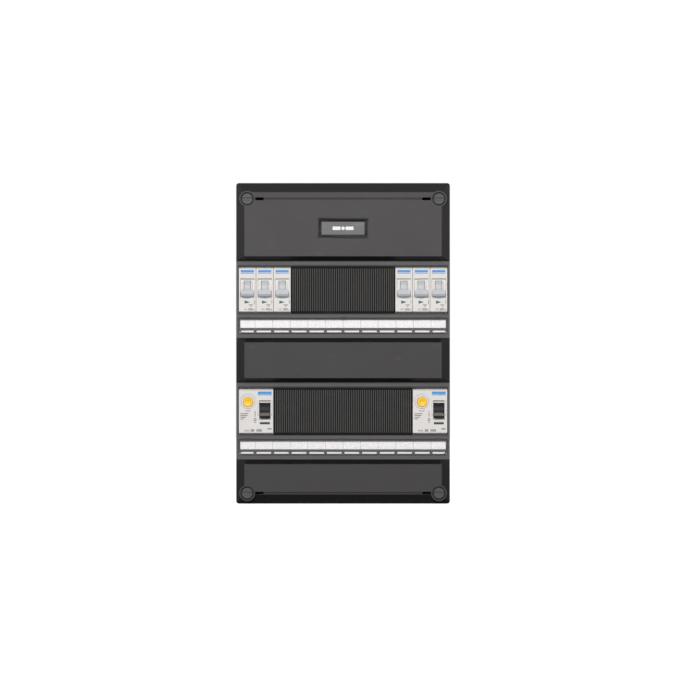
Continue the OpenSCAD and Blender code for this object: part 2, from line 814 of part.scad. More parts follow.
module rcd_case(x) color([0.88, 0.87, 0.85])
    translate([x, 0, row_z_lower])
        difference() {
            union() {
                difference() {
                    across(rcd_w) case_profile();
                    button_dish();
                }
                pin_y(button_ring_r, case_nose - 2, case_nose + button_ring_d, button_x, button_z);
                for (side = [-1, 1])
                    across(rcd_cheek_x[1] - rcd_cheek_x[0],
                           rcd_toggle_x + side * (rcd_cheek_x[0] + rcd_cheek_x[1]) / 2)
                        toggle_cheek();
            }
            case_cuts(rcd_terminal_x, 2.9, rcd_toggle_x, rcd_toggle_w, rcd_toggle_z);
            toggle_pocket(rcd_toggle_x, rcd_pocket_w, rcd_pocket_z, rcd_pocket_d);
            pin_y(button_r + pin_gap, button_back - spring_room, case_nose + 2, button_x, button_z);
            pin_y(stem_r + 0.3, button_back - stem_len - button_travel - 0.8, case_nose,
                  button_x, button_z);
            flag_housing(rcd_flag_len, rcd_toggle_x, rcd_flag_z);
            translate([rcd_toggle_x, 0, rcd_flag_z])
                forward(case_nose - flag_sink - 1, case_nose + 1)
                    square(rcd_flag_window, center = true);
        }

// A toggle: a drum on two stub axles, with a grip of its own width further out. half_t is half the
// grip's thickness at its root and at its tip.
module toggle(x, row_z, z, drum_w, grip_w, grip, half_t) {
    root = half_t[0];
    tip = half_t[1];
    neck_end = -grip[0] - 1;
    translate([x, toggle_y, row_z + z]) {
        pin_x(drum_r, drum_w, 0, 0, 0);
        pin_x(axle_r, drum_w + 2 * axle_len + 2 * drum_gap, 0, 0, 0);
        rotate([toggle_rest, 0, 0]) {
            across(drum_w)
                polygon([[-6, -root], [-6, root], [-grip[0], root], [neck_end, root * 0.9],
                         [neck_end, -root * 0.9], [-grip[0], -root]]);
            across(grip_w)
                polygon([[-grip[0], -root], [-grip[0], root], [-grip[1], tip], [-grip[1], -tip]]);
        }
    }
}

module mcb_toggle(x) color([0.85, 0.85, 0.85])
    toggle(x, row_z_upper, mcb_toggle_z, mcb_neck_w, mcb_grip_w, mcb_grip, mcb_grip_half_t);

module rcd_toggle(x) color([0.15, 0.15, 0.15])
    toggle(x + rcd_toggle_x, row_z_lower, rcd_toggle_z, rcd_toggle_w, rcd_toggle_w, rcd_grip,
           rcd_grip_half_t);

module flag(length, x, z) color([0.1, 0.37, 0.33]) {
    pin_x(flag_r, length, x, flag_y, z);
    pin_x(flag_axle_r, length + 2 * flag_axle_len + 2 * drum_gap, x, flag_y, z);
}

// A latch that hooks behind the rail's lower edge, with an eye for a screwdriver at its foot.
module latch(x, row_z) color([0.12, 0.12, 0.12])
    translate([x, 0, row_z])
        difference() {
            union() {
                block([-latch_w / 2, latch_y, latch_bottom], [latch_w / 2, latch_y + latch_t, latch_top]);
                block([-latch_w / 2 + 1, latch_y - 1, latch_bottom],
                      [latch_w / 2 - 1, latch_y + 1, -case_half_h - 0.5]);
            }
            pin_y(latch_eye_r, -latch_y - latch_t - 1, -latch_y + 2, 0, latch_bottom + 2.4);
        }

module test_button(x) color([0.96, 0.77, 0.02]) {
    pin_y(button_r, button_back, button_front, x + button_x, row_z_lower + button_z);
    pin_y(stem_r, button_back - stem_len, button_back + 1, x + button_x, row_z_lower + button_z);
}

module button_spring(x) color([0.7, 0.7, 0.7])
    translate([x + button_x, -button_back + 0.1, row_z_lower + button_z])
        rotate([-90, 0, 0])
            linear_extrude(height = spring_room - 0.2, twist = -360 * spring_turns, slices = 36)
                difference() {
                    circle(r = spring_r + spring_wire_r, $fn = 16);
                    circle(r = spring_r - spring_wire_r, $fn = 16);
                    translate([-2 * spring_r, -4 * spring_r])
                        square(4 * spring_r);
                }

// ---- nodes ----

base();
din_rail(row_z_upper);  // din_rail_upper
din_rail(row_z_lower);  // din_rail_lower
rail_screws();
earth_bar();
earth_bar_screws();
front_cover();
badge();
blank_strip(row_z_upper, 3, 6);  // blank_strip_upper
blank_strip(row_z_lower, 2, 8);  // blank_strip_lower
label_card(row_z_upper);  // label_card_upper
label_card(row_z_lower);  // label_card_lower
label_frame(row_z_upper);  // label_frame_upper
label_frame(row_z_lower);  // label_frame_lower
label_window(row_z_upper);  // label_window_upper
label_window(row_z_lower);  // label_window_lower
cover_screw(-screw_x, screw_z_top);  // cover_screw_top_left
cover_screw(screw_x, screw_z_top);  // cover_screw_top_right
cover_screw(-screw_x, screw_z_bottom);  // cover_screw_bottom_left
cover_screw(screw_x, screw_z_bottom);  // cover_screw_bottom_right
busbar_combs();
wires_live();
wires_neutral();
terminal_screws();
for (n = [1 : 6]) {
    x = mcb_xs[n - 1];
    mcb_case(x);
    mcb_toggle(x);
    flag(mcb_flag_len, x, row_z_upper + mcb_flag_z);
    latch(x, row_z_upper);
}
for (n = [0, 1]) {
    x = rcd_xs[n];
    side = ["left", "right"][n];
    rcd_case(x);
    rcd_toggle(x);
    flag(rcd_flag_len, x + rcd_toggle_x, row_z_lower + rcd_flag_z);
    latch(x, row_z_lower);
    test_button(x);
    button_spring(x);
}
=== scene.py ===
"""Finishes, rounded mouldings and fine parts of a surface-mounted distribution box."""

import json
import math

import bmesh
import bpy
import numpy as np
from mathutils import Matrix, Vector


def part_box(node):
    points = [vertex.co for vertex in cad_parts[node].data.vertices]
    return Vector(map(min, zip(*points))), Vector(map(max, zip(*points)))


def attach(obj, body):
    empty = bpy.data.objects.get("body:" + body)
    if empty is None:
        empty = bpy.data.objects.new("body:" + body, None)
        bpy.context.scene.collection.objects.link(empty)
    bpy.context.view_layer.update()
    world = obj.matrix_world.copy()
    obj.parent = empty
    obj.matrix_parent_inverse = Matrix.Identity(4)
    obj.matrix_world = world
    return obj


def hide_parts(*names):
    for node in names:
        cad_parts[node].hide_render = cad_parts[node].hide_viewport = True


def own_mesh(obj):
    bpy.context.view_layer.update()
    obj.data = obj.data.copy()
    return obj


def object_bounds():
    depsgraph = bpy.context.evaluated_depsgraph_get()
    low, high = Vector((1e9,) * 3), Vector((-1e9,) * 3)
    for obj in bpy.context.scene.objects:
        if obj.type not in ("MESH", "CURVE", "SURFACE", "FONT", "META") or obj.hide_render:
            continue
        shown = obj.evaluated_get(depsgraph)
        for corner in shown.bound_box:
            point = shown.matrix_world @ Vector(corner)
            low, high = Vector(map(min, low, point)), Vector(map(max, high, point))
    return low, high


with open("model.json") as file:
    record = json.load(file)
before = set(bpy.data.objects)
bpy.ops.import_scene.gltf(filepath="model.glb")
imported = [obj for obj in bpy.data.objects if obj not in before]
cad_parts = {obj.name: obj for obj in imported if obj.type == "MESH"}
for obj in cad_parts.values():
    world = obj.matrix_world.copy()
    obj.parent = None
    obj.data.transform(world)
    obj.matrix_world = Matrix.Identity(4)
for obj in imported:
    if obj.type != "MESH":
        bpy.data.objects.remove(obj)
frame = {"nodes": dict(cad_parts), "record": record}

bl_info = {
    "name": "Distribution box",
    "version": (1, 0, 0),
    "blender": (4, 5, 0),
    "location": "3D View > Sidebar > Distribution box",
    "description": "Builds the finished parts of a distribution box around its frame",
    "category": "Object",
}

MM = 0.001
CAD_BOUNDS = [list(corner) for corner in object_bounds()]
RECORD = frame["record"]
SLOT_OF = {part["node"]: part["material_slot"] for part in RECORD["subparts"]}
BODY_OF = {
    node: body for body, nodes in RECORD["behaviour"]["bodies"].items() for node in nodes
}
PIVOTS = {
    joint["name"]: np.array(joint["pos_m"]) / MM
    for joint in RECORD["behaviour"]["joints"]
    if "pos_m" in joint
}
BREAKERS = [f"mcb_{n}" for n in range(1, 7)]
RESIDUALS = ["rcd_left", "rcd_right"]
ROWS = ["upper", "lower"]
LABEL_PITCH = 18.12
REST_TILT = math.radians(27)
BLACK = (0.0, 0.0, 0.0)
WHITE = (1.0, 1.0, 1.0)

# Distances out from the wall at which the cover's valleys end and its panels begin.
VALLEY_TOP = (75.2, 75.9)
PANEL_START = (89.0, 89.9)
# Half the width and height, and the middle height, of the region inside the cover's outer bevel.
INNER_HALF_WIDTH = 100.0
INNER_HALF_HEIGHT = 131.0
INNER_MIDDLE = 4.0
# Heights between which the panels turn darker.
DARKENING = (40.0, 90.0)
# Distances out at which the floors between a strip's ribs end.
RIB_FLOOR = (75.1, 76.0)

# Each toggle has a drum of this radius on an axle, and rims of these roundings.
DRUM_RADIUS = 9
DRUM_RIM = 0.35
AXLE_RADIUS = 1.2
AXLE_RIM = 0.2
LEVER_START = 6

# Parts of the widest rounding that are tried in turn on each node.
ROUNDING_STEPS = (1, 0.5, 0.25, 0.12)
# How far a plate of ink stands out of its face, and how far it reaches in.
INK_RISE = 0.04
INK_ROOT = 0.02
# Names, places in metres, sizes in metres and powers in watts of the lamps.
LAMPS = (
    ("key_light", (-0.3, -3.3, 1.0), 1.4, 80),
    ("front_light", (0.2, -3.8, 0.2), 1.4, 50),
    ("back_light", (0.9, 2.8, 1.6), 1.6, 30),
    ("left_light", (-3.0, 1.2, 1.0), 1.6, 14),
    ("right_light", (3.0, 1.2, 1.0), 1.6, 14),
)


def box_mm(node):
    """Lowest and highest corner of a CAD node, in millimetres."""
    low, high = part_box(node)
    return np.array(low) / MM, np.array(high) / MM


def centre_mm(node):
    """Centre of a CAD node's box, in millimetres."""
    low, high = box_mm(node)
    return (low + high) / 2


# ---- material expressions ----


class Value:
    """A socket in a material, with the operators of arithmetic."""

    def __init__(self, finish, socket):
        self.finish = finish
        self.socket = socket

    def math(self, operation, *others):
        return self.finish.node("ShaderNodeMath", {"operation": operation}, [self, *others])

    def __add__(self, other):
        return self.math("ADD", other)

    def __sub__(self, other):
        return self.math("SUBTRACT", other)

    def __mul__(self, other):
        return self.math("MULTIPLY", other)

    def __rsub__(self, other):
        return self.finish.node("ShaderNodeMath", {"operation": "SUBTRACT"}, [other, self])

    def __gt__(self, other):
        return self.math("GREATER_THAN", other)

    def __lt__(self, other):
        return self.math("LESS_THAN", other)

    def __abs__(self):
        return self.math("ABSOLUTE")

    __radd__ = __add__


class Finish:
    """A node material whose pattern is written as expressions on Object coordinates in millimetres."""

    def __init__(self, name):
        self.material = bpy.data.materials.new(name)
        self.material.use_nodes = True
        self.tree = self.material.node_tree
        self.tree.nodes.clear()
        place = self.node("ShaderNodeTexCoord", output="Object")
        scaled = {"operation": "SCALE"}
        self.point = self.node("ShaderNodeVectorMath", scaled, {0: place, "Scale": 1 / MM})

    def node(self, kind, settings=None, inputs=(), output=0):
        """Adds a node, sets its settings and then the values or links of its sockets."""
        made = self.tree.nodes.new(kind)
        for key, value in (settings or {}).items():
            setattr(made, key, value)
        pairs = inputs.items() if isinstance(inputs, dict) else enumerate(inputs)
        for key, value in pairs:
            if isinstance(value, Value):
                self.tree.links.new(value.socket, made.inputs[key])
            else:
                made.inputs[key].default_value = value
        return Value(self, made.outputs[output]) if len(made.outputs) else None

    def axis(self, name):
        return self.node("ShaderNodeSeparateXYZ", inputs=[self.point], output=name)

    def noise(self, size, detail=2.0, stretch=(1, 1, 1)):
        """Noise from 0 to 1 whose blotches are about size millimetres, longer where stretch is more."""
        across = tuple(1 / (size * s) for s in stretch)
        point = self.node("ShaderNodeVectorMath", {"operation": "MULTIPLY"}, [self.point, across])
        return self.node(
            "ShaderNodeTexNoise", inputs={"Vector": point, "Scale": 1.0, "Detail": detail}
        )

    def cells(self, size):
        """A tone of its own for each of scattered cells about size millimetres across."""
        return self.node(
            "ShaderNodeTexVoronoi", inputs={"Vector": self.point, "Scale": 1 / size}, output="Color"
        )

    def mix(self, factor, low, high):
        return self.node(
            "ShaderNodeMix", {"data_type": "RGBA"}, {0: factor, 6: rgba(low), 7: rgba(high)}, output=2
        )

    def ramp(self, value, low, high):
        """Rises smoothly from 0 to 1 as a value goes from low to high."""
        return self.node(
            "ShaderNodeMapRange", {"interpolation_type": "SMOOTHSTEP"}, [value, low, high, 0.0, 1.0]
        )

    def bump(self, height, depth_mm, edge_mm=0.0):
        """Relief of a given depth, over edges that are softened to a radius."""
        inputs = {"Strength": 1.0, "Distance": depth_mm * MM, "Height": height}
        if edge_mm:
            inputs["Normal"] = self.node("ShaderNodeBevel", {"samples": 6}, {"Radius": edge_mm * MM})
        return self.node("ShaderNodeBump", inputs=inputs)

    def surface(self, **sockets):
        """Ends the material in a Principled shader with these sockets, named with underscores."""
        named = {key.replace("_", " ").title().replace("Ior", "IOR"): v for key, v in sockets.items()}
        if "Base Color" in named:
            named["Base Color"] = rgba(named["Base Color"])
        shader = self.node("ShaderNodeBsdfPrincipled", inputs=named)
        self.node("ShaderNodeOutputMaterial", inputs={"Surface": shader})
        return self.material


def rgba(colour):
    return colour if isinstance(colour, Value) else (*tuple(colour)[:3], 1.0)


def shade(colour, amount):
    """A colour made lighter or darker by a factor."""
    return tuple(min(1.0, c * amount) for c in tuple(colour)[:3])


def moulding(
    name, colour, roughness, grain=0.5, depth=0.012, cloud=0.06, edge=0.4, gloss=0.3, zones=None
):
    """Satin moulded plastic: a spark-eroded grain, broad clouding, and faint rubbed streaks. zones may
    repaint its base colour by place."""
    f = Finish(name)
    fine = f.noise(grain, 3.0)
    broad = f.noise(45.0, 2.0)
    streak = f.ramp(f.noise(1.2, 4.0, (14, 1, 5)), 0.58, 0.75)
    base = f.mix(broad, shade(colour, 1 - cloud), shade(colour, 1 + cloud))
    if zones:
        base = zones(f, base)
    return f.surface(
        base_color=f.mix(streak * 0.08, base, shade(colour, 1.4)),
        roughness=roughness + (fine - 0.5) * 0.16 + (broad - 0.5) * 0.08 - streak * 0.05,
        specular_ior_level=gloss,
        normal=f.bump(fine, depth, edge),
    )


def cover_zones(f, base):
    """The cover's three textures: smooth valleys, coarse slopes, and panels between the two, with
    the top panel a little lighter than those below it. The slopes carry painted shade, heaviest on the
    steps between panels and valleys."""
    out = f.axis("Y") * -1
    in_valley = 1 - f.ramp(out, *VALLEY_TOP)
    on_slope = (1 - in_valley) * (1 - f.ramp(out, *PANEL_START))
    in_height = abs(f.axis("Z") - INNER_MIDDLE) < INNER_HALF_HEIGHT
    inner = (abs(f.axis("X")) < INNER_HALF_WIDTH) * in_height
    below = 1 - f.ramp(f.axis("Z"), *DARKENING)
    base = f.mix(below * 0.22, base, BLACK)
    base = f.mix(in_valley * 0.9, base, (0.1, 0.097, 0.098))
    # Painted shade: the slopes are mixed towards black, more on the steps inside the outer bevel.
    return f.mix(on_slope * (0.32 + inner * 0.5), base, BLACK)


def rib_floor_shade(f, base):
    """Painted shade: dark floors between a strip's ribs, where shade falls."""
    floor_shade = 1 - f.ramp(f.axis("Y") * -1, *RIB_FLOOR)
    # Painted shade: the floors between the ribs are mixed nearly to black.
    return f.mix(floor_shade * 0.97, base, BLACK)


def toggle_zones(f, base):
    """A breaker's toggle: a cool grey face at the tip of its paddle, darkened with painted shade for a
    face turned down, and a drum greyed with painted shade in its pocket.
    """
    pivot = PIVOTS["mcb_1_toggle_hinge"]
    out = pivot[1] - f.axis("Y")
    down = pivot[2] - f.axis("Z")
    reach = out * math.cos(REST_TILT) + down * math.sin(REST_TILT)
    aside = out * math.sin(REST_TILT) - down * math.cos(REST_TILT)
    # Painted shade: the drum is greyed where it shows in its pocket, and the downward face at the
    # paddle's tip is darkened.
    tip_shade = f.ramp(reach, 17.55, 17.75)
    squared = reach * reach + aside * aside
    drum_shade = (1 - f.ramp(squared, 85.0, 98.0)) * 0.8
    with_drum_shade = f.mix(drum_shade, base, (0.45, 0.46, 0.47))
    return f.mix(tip_shade * 0.8, with_drum_shade, (0.40, 0.42, 0.46))


def black_toggle_zones(f, base):
    """A residual breaker's toggle: painted light, a warm grey on the upward slope of its grip."""
    pivot = PIVOTS["rcd_left_toggle_hinge"]
    below = pivot[2] - f.axis("Z")
    past_drum = f.axis("Y") < pivot[1] - 10.0
    on_slope = f.ramp(below, 1.5, 1.9) * (1 - f.ramp(below, 5.7, 6.1)) * past_drum
    # Painted light: the grip's upper slope is lifted from black to warm grey.
    return f.mix(on_slope, base, (0.21, 0.19, 0.17))


def ink(name, colour):
    """Pad-printed ink, a little thin in places."""
    f = Finish(name)
    thin = f.noise(0.6, 3.0)
    return f.surface(
        base_color=f.mix(thin * 0.35, colour, shade(colour, 1.6)),
        roughness=0.45 + thin * 0.1,
    )


def card_stock(name, colour):
    """White card with paper fibres and a faint printed line between its fields."""
    f = Finish(name)
    fibre = f.noise(0.5, 5.0, (3, 1, 1))
    along = f.axis("X") * (1 / LABEL_PITCH) + 0.5
    from_line = abs(along.math("FRACT") - 0.5) * LABEL_PITCH
    base = f.mix(fibre, shade(colour, 0.97), shade(colour, 1.03))
    return f.surface(
        base_color=f.mix((from_line < 0.33) * 0.85, base, shade(colour, 0.55)),
        roughness=0.75 + fibre * 0.1,
        normal=f.bump(fibre, 0.01),
    )


def clear_pane(name):
    """Clear polycarbonate, nearly invisible but for its gloss and faint haze."""
    f = Finish(name)
    haze = f.noise(6.0, 3.0)
    return f.surface(
        base_color=(0.92, 0.93, 0.95),
        roughness=0.08 + haze * 0.08,
        alpha=0.1 + haze * 0.05,
    )


def plated_steel(name, colour):
    """Zinc plating: small crystals, a brushed grain and a warm to cool tint."""
    f = Finish(name)
    crystal = f.cells(2.2)
    brushed = f.noise(0.4, 4.0, (20, 1, 1))
    tint = f.noise(12.0)
    base = f.mix(tint, shade(colour, 0.9), (colour[0], colour[1] * 0.99, colour[2] * 1.06))
    return f.surface(
        base_color=base,
        metallic=1.0,
        roughness=0.3 + brushed * 0.16 + crystal * 0.06,
        normal=f.bump(brushed, 0.01),
    )


def drawn_metal(name, colour, tarnish):
    """Drawn bar of brass or copper: lines along its length and patches of tarnish."""
    f = Finish(name)
    lines = f.noise(0.5, 4.0, (30, 1, 1))
    patch = f.ramp(f.noise(7.0, 4.0), 0.45, 0.75)
    return f.surface(
        base_color=f.mix(patch, colour, shade(colour, 1 - tarnish)),
        metallic=1.0,
        roughness=0.26 + lines * 0.14 + patch * 0.18,
        normal=f.bump(lines, 0.015),
    )


def insulation(name, colour):
    """Soft wire insulation with a faint extruded waviness."""
    f = Finish(name)
    wave = f.noise(2.5, 2.0, (1, 1, 3))
    return f.surface(
        base_color=f.mix(wave, shade(colour, 0.85), shade(colour, 1.15)),
        roughness=0.34 + wave * 0.12,
        normal=f.bump(wave, 0.03),
    )


def flag_drum(name, pivot, green, red, turned):
    """A contact flag's two colours: red on the part of the drum that faces out when switched on."""
    f = Finish(name)
    forward = (f.axis("Y") - pivot[1]) * -math.cos(turned)
    upward = (f.axis("Z") - pivot[2]) * math.sin(turned)
    worn = f.noise(0.8, 3.0)
    is_red = (forward + upward) > 1.2
    return f.surface(
        base_color=f.mix(is_red, f.mix(worn, shade(green, 0.8), shade(green, 1.2)), red),
        roughness=0.4 + worn * 0.15,
    )


# ---- mesh building ----


def put_in(name, points, faces, body, slot, material, sharp_deg=32):
    """Makes a piece from points in millimetres, which rides on a body and takes the finish it is given.
    Its slot is not used.
    """
    mesh = bpy.data.meshes.new(name)
    mesh.from_pydata((np.asarray(points) * MM).tolist(), [], faces)
    mesh.materials.append(material)
    piece = bpy.data.objects.new(name, mesh)
    bpy.context.scene.collection.objects.link(piece)
    weld(mesh)
    mesh.shade_smooth()
    mesh.set_sharp_from_angle(angle=math.radians(sharp_deg))
    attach(piece, body)
    return piece


def weld(mesh, flat_deg=None):
    """Merges doubled points, joins faces that lie in one plane, and turns every face outwards."""
    work = bmesh.new()
    work.from_mesh(mesh)
    bmesh.ops.remove_doubles(work, verts=work.verts, dist=1e-6)
    if flat_deg:
        bmesh.ops.dissolve_limit(
            work, angle_limit=math.radians(flat_deg), verts=work.verts, edges=work.edges
        )
    bmesh.ops.recalc_face_normals(work, faces=work.faces)
    work.to_mesh(mesh)
    work.free()


def ring_faces(rings, sides):
    """Quads between neighbouring rings of a closed tube, with a flat face over each end."""
    start = np.arange(rings - 1)[:, None] * sides
    here = np.arange(sides)
    after = (here + 1) % sides
    quads = np.stack(
        [start + here, start + after, start + sides + after, start + sides + here], axis=-1
    ).reshape(-1, 4)
    first_end = list(range(sides))[::-1]
    last_end = list(range((rings - 1) * sides, rings * sides))
    return [*quads.tolist(), first_end, last_end]


def joined(parts):
    """Puts several (points, faces) shells into one."""
    points, faces, offset = [], [], 0
    for shell_points, shell_faces in parts:
        points.append(np.asarray(shell_points).reshape(-1, 3))
        faces += [[i + offset for i in face] for face in shell_faces]
        offset += len(points[-1])
    return np.concatenate(points), faces


def turned(profile, sides=64, axis="y", at=(0, 0, 0)):
    """Turns a profile of (radius, distance along the axis) once round the axis: each point of the
    surface is the radius times the cosine and sine of the turn, beside its distance."""
    profile = np.asarray(profile, float)
    turn = np.linspace(0, 2 * np.pi, sides, endpoint=False)
    radius, along = profile[:, :1], profile[:, 1:]
    round_a = radius * np.cos(turn)
    round_b = radius * np.sin(turn)
    flat = np.broadcast_to(along, round_a.shape)
    order = {"x": (flat, round_a, round_b), "y": (round_a, flat, round_b)}[axis]
    points = np.stack(order, axis=-1) + np.asarray(at)
    return points.reshape(-1, 3), ring_faces(len(profile), sides)


def rounded_bar(radius, start, end, rim):
    """Profile of a round bar with rounded rims: quarter circles join its sides to its ends."""
    turn = np.linspace(0, np.pi / 2, 6)
    first = np.stack([radius - rim + rim * np.sin(turn), start + rim - rim * np.cos(turn)], axis=1)
    last = np.stack([radius - rim + rim * np.cos(turn), end - rim + rim * np.sin(turn)], axis=1)
    return np.concatenate([first, last])


def lever(pivot, tilt, reach, half_width, half_height, tip_round=0.6, square=6.0):
    """A lever's blade: at each distance from its pivot the section is a superellipse whose half width
    and half height are given there, and near the tip both shrink along a quarter circle."""
    out = np.concatenate([
        np.linspace(reach[0], reach[1] - tip_round, 34),
        reach[1] - tip_round + tip_round * np.sin(np.linspace(0.2, np.pi / 2, 7)),
    ])
    past = np.clip((out - (reach[1] - tip_round)) / tip_round, 0, 1)
    shrink = tip_round * (1 - np.sqrt(1 - past**2))
    wide = half_width(out) - shrink
    high = half_height(out) - shrink
    turn = np.linspace(0, 2 * np.pi, 56, endpoint=False)
    power = 2 / square
    side = np.sign(np.cos(turn)) * np.abs(np.cos(turn)) ** power
    rise = np.sign(np.sin(turn)) * np.abs(np.sin(turn)) ** power
    x = wide[:, None] * side
    lift = high[:, None] * rise
    y = -out[:, None] * math.cos(tilt) - lift * math.sin(tilt)
    z = -out[:, None] * math.sin(tilt) + lift * math.cos(tilt)
    points = np.stack([x, y, z], axis=-1) + pivot
    return points.reshape(-1, 3), ring_faces(len(out), len(turn))


def tube(path, radius, sides=20):
    """A round tube: at each point of its path a circle stands across the path's own direction."""
    path = np.asarray(path, float)
    ahead = np.gradient(path, axis=0)
    ahead /= np.linalg.norm(ahead, axis=1, keepdims=True)
    side = np.cross(ahead, (0.05, 1.0, 0.08))
    side /= np.linalg.norm(side, axis=1, keepdims=True)
    other = np.cross(ahead, side)
    turn = np.linspace(0, 2 * np.pi, sides, endpoint=False)[None, :, None]
    points = path[:, None] + radius * (np.cos(turn) * side[:, None] + np.sin(turn) * other[:, None])
    return points.reshape(-1, 3), ring_faces(len(path), sides)


def plate(outline, front, back):
    """A flat plate with an outline in X and Z, between two distances along Y."""
    outline = np.asarray(outline, float)
    near = np.insert(outline, 1, front, axis=1)
    far = np.insert(outline, 1, back, axis=1)
    return np.concatenate([near, far]), ring_faces(2, len(outline))


def bar(x, z, width, height):
    """Outline of a bar by its centre."""
    corners = np.array([(-1, -1), (1, -1), (1, 1), (-1, 1)]) / 2
    return corners * (width, height) + (x, z)


def arc_band(x, z, radius, width, start_deg, end_deg):
    """Outline of part of a ring round a centre."""
    turn = np.radians(np.linspace(start_deg, end_deg, 17))
    ray = np.stack([np.cos(turn), np.sin(turn)], axis=1)
    outer = ray * (radius + width / 2)
    inner = ray[::-1] * (radius - width / 2)
    return np.concatenate([outer, inner]) + (x, z)


def skin(mesh):
    """Area of a mesh's skin, and its lowest and highest corner, in metres."""
    mesh.calc_loop_triangles()
    corners = np.zeros(len(mesh.loop_triangles) * 3, np.int32)
    mesh.loop_triangles.foreach_get("vertices", corners)
    points = np.zeros(len(mesh.vertices) * 3, np.float32)
    mesh.vertices.foreach_get("co", points)
    points = points.reshape(-1, 3).astype(float)
    a, b, c = np.moveaxis(points[corners.reshape(-1, 3)], 1, 0)
    area = np.linalg.norm(np.cross(b - a, c - a), axis=1).sum() / 2
    return area, points.min(axis=0), points.max(axis=0)


def stays_whole(piece):
    """True where rounding has only taken skin away: folds and spikes would add to it."""
    area, low, high = skin(piece.data)
    rounded = piece.evaluated_get(bpy.context.evaluated_depsgraph_get()).to_mesh()
    new_area, new_low, new_high = skin(rounded)
    allowed = 0.01 * MM
    in_box = np.all(new_low > low - allowed) and np.all(new_high < high + allowed)
    return new_area < area and in_box


def dress(node, edge, material):
    """A copy of a CAD node in a material, with its points welded and its edges rounded. The first
    rounding that keeps the skin whole is used, on the node's merged faces or on its triangles, so
    like nodes can differ. Where none does, the edges stay square."""
    piece = bpy.data.objects.new(node + "_moulded", bpy.data.meshes.new(node + "_moulded"))
    bpy.context.scene.collection.objects.link(piece)
    bevel = piece.modifiers.new("rounded edges", "BEVEL")
    bevel.segments = 2
    bevel.limit_method = "ANGLE"
    bevel.angle_limit = math.radians(28)
    bevel.use_clamp_overlap = False
    plain, merged = (frame["nodes"][node].data.copy() for _ in range(2))
    weld(plain)
    weld(merged, flat_deg=0.05)
    trials = [(edge * part, mesh) for part in ROUNDING_STEPS for mesh in (merged, plain)]
    for width, mesh in trials:
        piece.data = mesh
        bevel.width = width * MM
        if stays_whole(piece):
            break
    else:
        piece.modifiers.remove(bevel)
    flats = piece.modifiers.new("flat faces stay flat", "WEIGHTED_NORMAL")
    flats.mode = "FACE_AREA"
    flats.weight = 100
    flats.keep_sharp = True
    mesh.materials.clear()
    mesh.materials.append(material)
    mesh.polygons.foreach_set("material_index", np.zeros(len(mesh.polygons), np.int32))
    mesh.shade_smooth()
    mesh.set_sharp_from_angle(angle=math.radians(25))
    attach(piece, BODY_OF[node])
    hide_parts(node)


# ---- settings ----


def colour_property(name, description, default):
    return bpy.props.FloatVectorProperty(
        name=name, description=description, default=default, subtype="COLOR", min=0.0, max=1.0
    )


def length_property(name, description, default_mm):
    return bpy.props.FloatProperty(
        name=name, description=description, default=default_mm * MM, unit="LENGTH", min=0.0
    )


class BoxLooks(bpy.types.PropertyGroup):
    """Colours and edge sizes of the distribution box."""

    cover_colour: colour_property("Cover", "Colour of the cover", (0.052, 0.048, 0.051))
    base_colour: colour_property("Base", "Colour of the base", (0.045, 0.043, 0.045))
    strip_colour: colour_property("Strips", "Colour of the blanking strips", (0.078, 0.076, 0.074))
    flap_colour: colour_property("Flaps", "Colour of the label flaps", (0.06, 0.06, 0.064))
    badge_colour: colour_property("Badge", "Colour of the badge plate", (0.09, 0.084, 0.09))
    mark_colour: colour_property("Badge mark", "Colour of the badge's mark", (0.75, 0.75, 0.76))
    device_colour: colour_property("Devices", "Colour of the device cases", (0.70, 0.67, 0.65))
    toggle_colour: colour_property("Toggles", "Colour of the breakers' toggles", (0.72, 0.74, 0.76))
    black_colour: colour_property("Black toggles", "Colour of the black toggles", (0.022, 0.022, 0.023))
    button_colour: colour_property("Test buttons", "Colour of the test buttons", (0.91, 0.53, 0.004))
    blue_ink: colour_property("Blue ink", "Colour of the printed bars", (0.004, 0.22, 0.57))
    grey_ink: colour_property("Grey ink", "Colour of the printed ticks", (0.03, 0.026, 0.024))
    flag_green: colour_property("Green flag", "Colour of a flag when off", (0.006, 0.1, 0.085))
    flag_red: colour_property("Red flag", "Colour of a flag when on", (0.55, 0.02, 0.015))
    cover_edge: length_property("Cover edge", "Widest rounding tried on the cover", 0.6)
    device_edge: length_property("Device edge", "Widest rounding tried on a case", 0.35)


def looks():
    return bpy.context.scene.box_looks


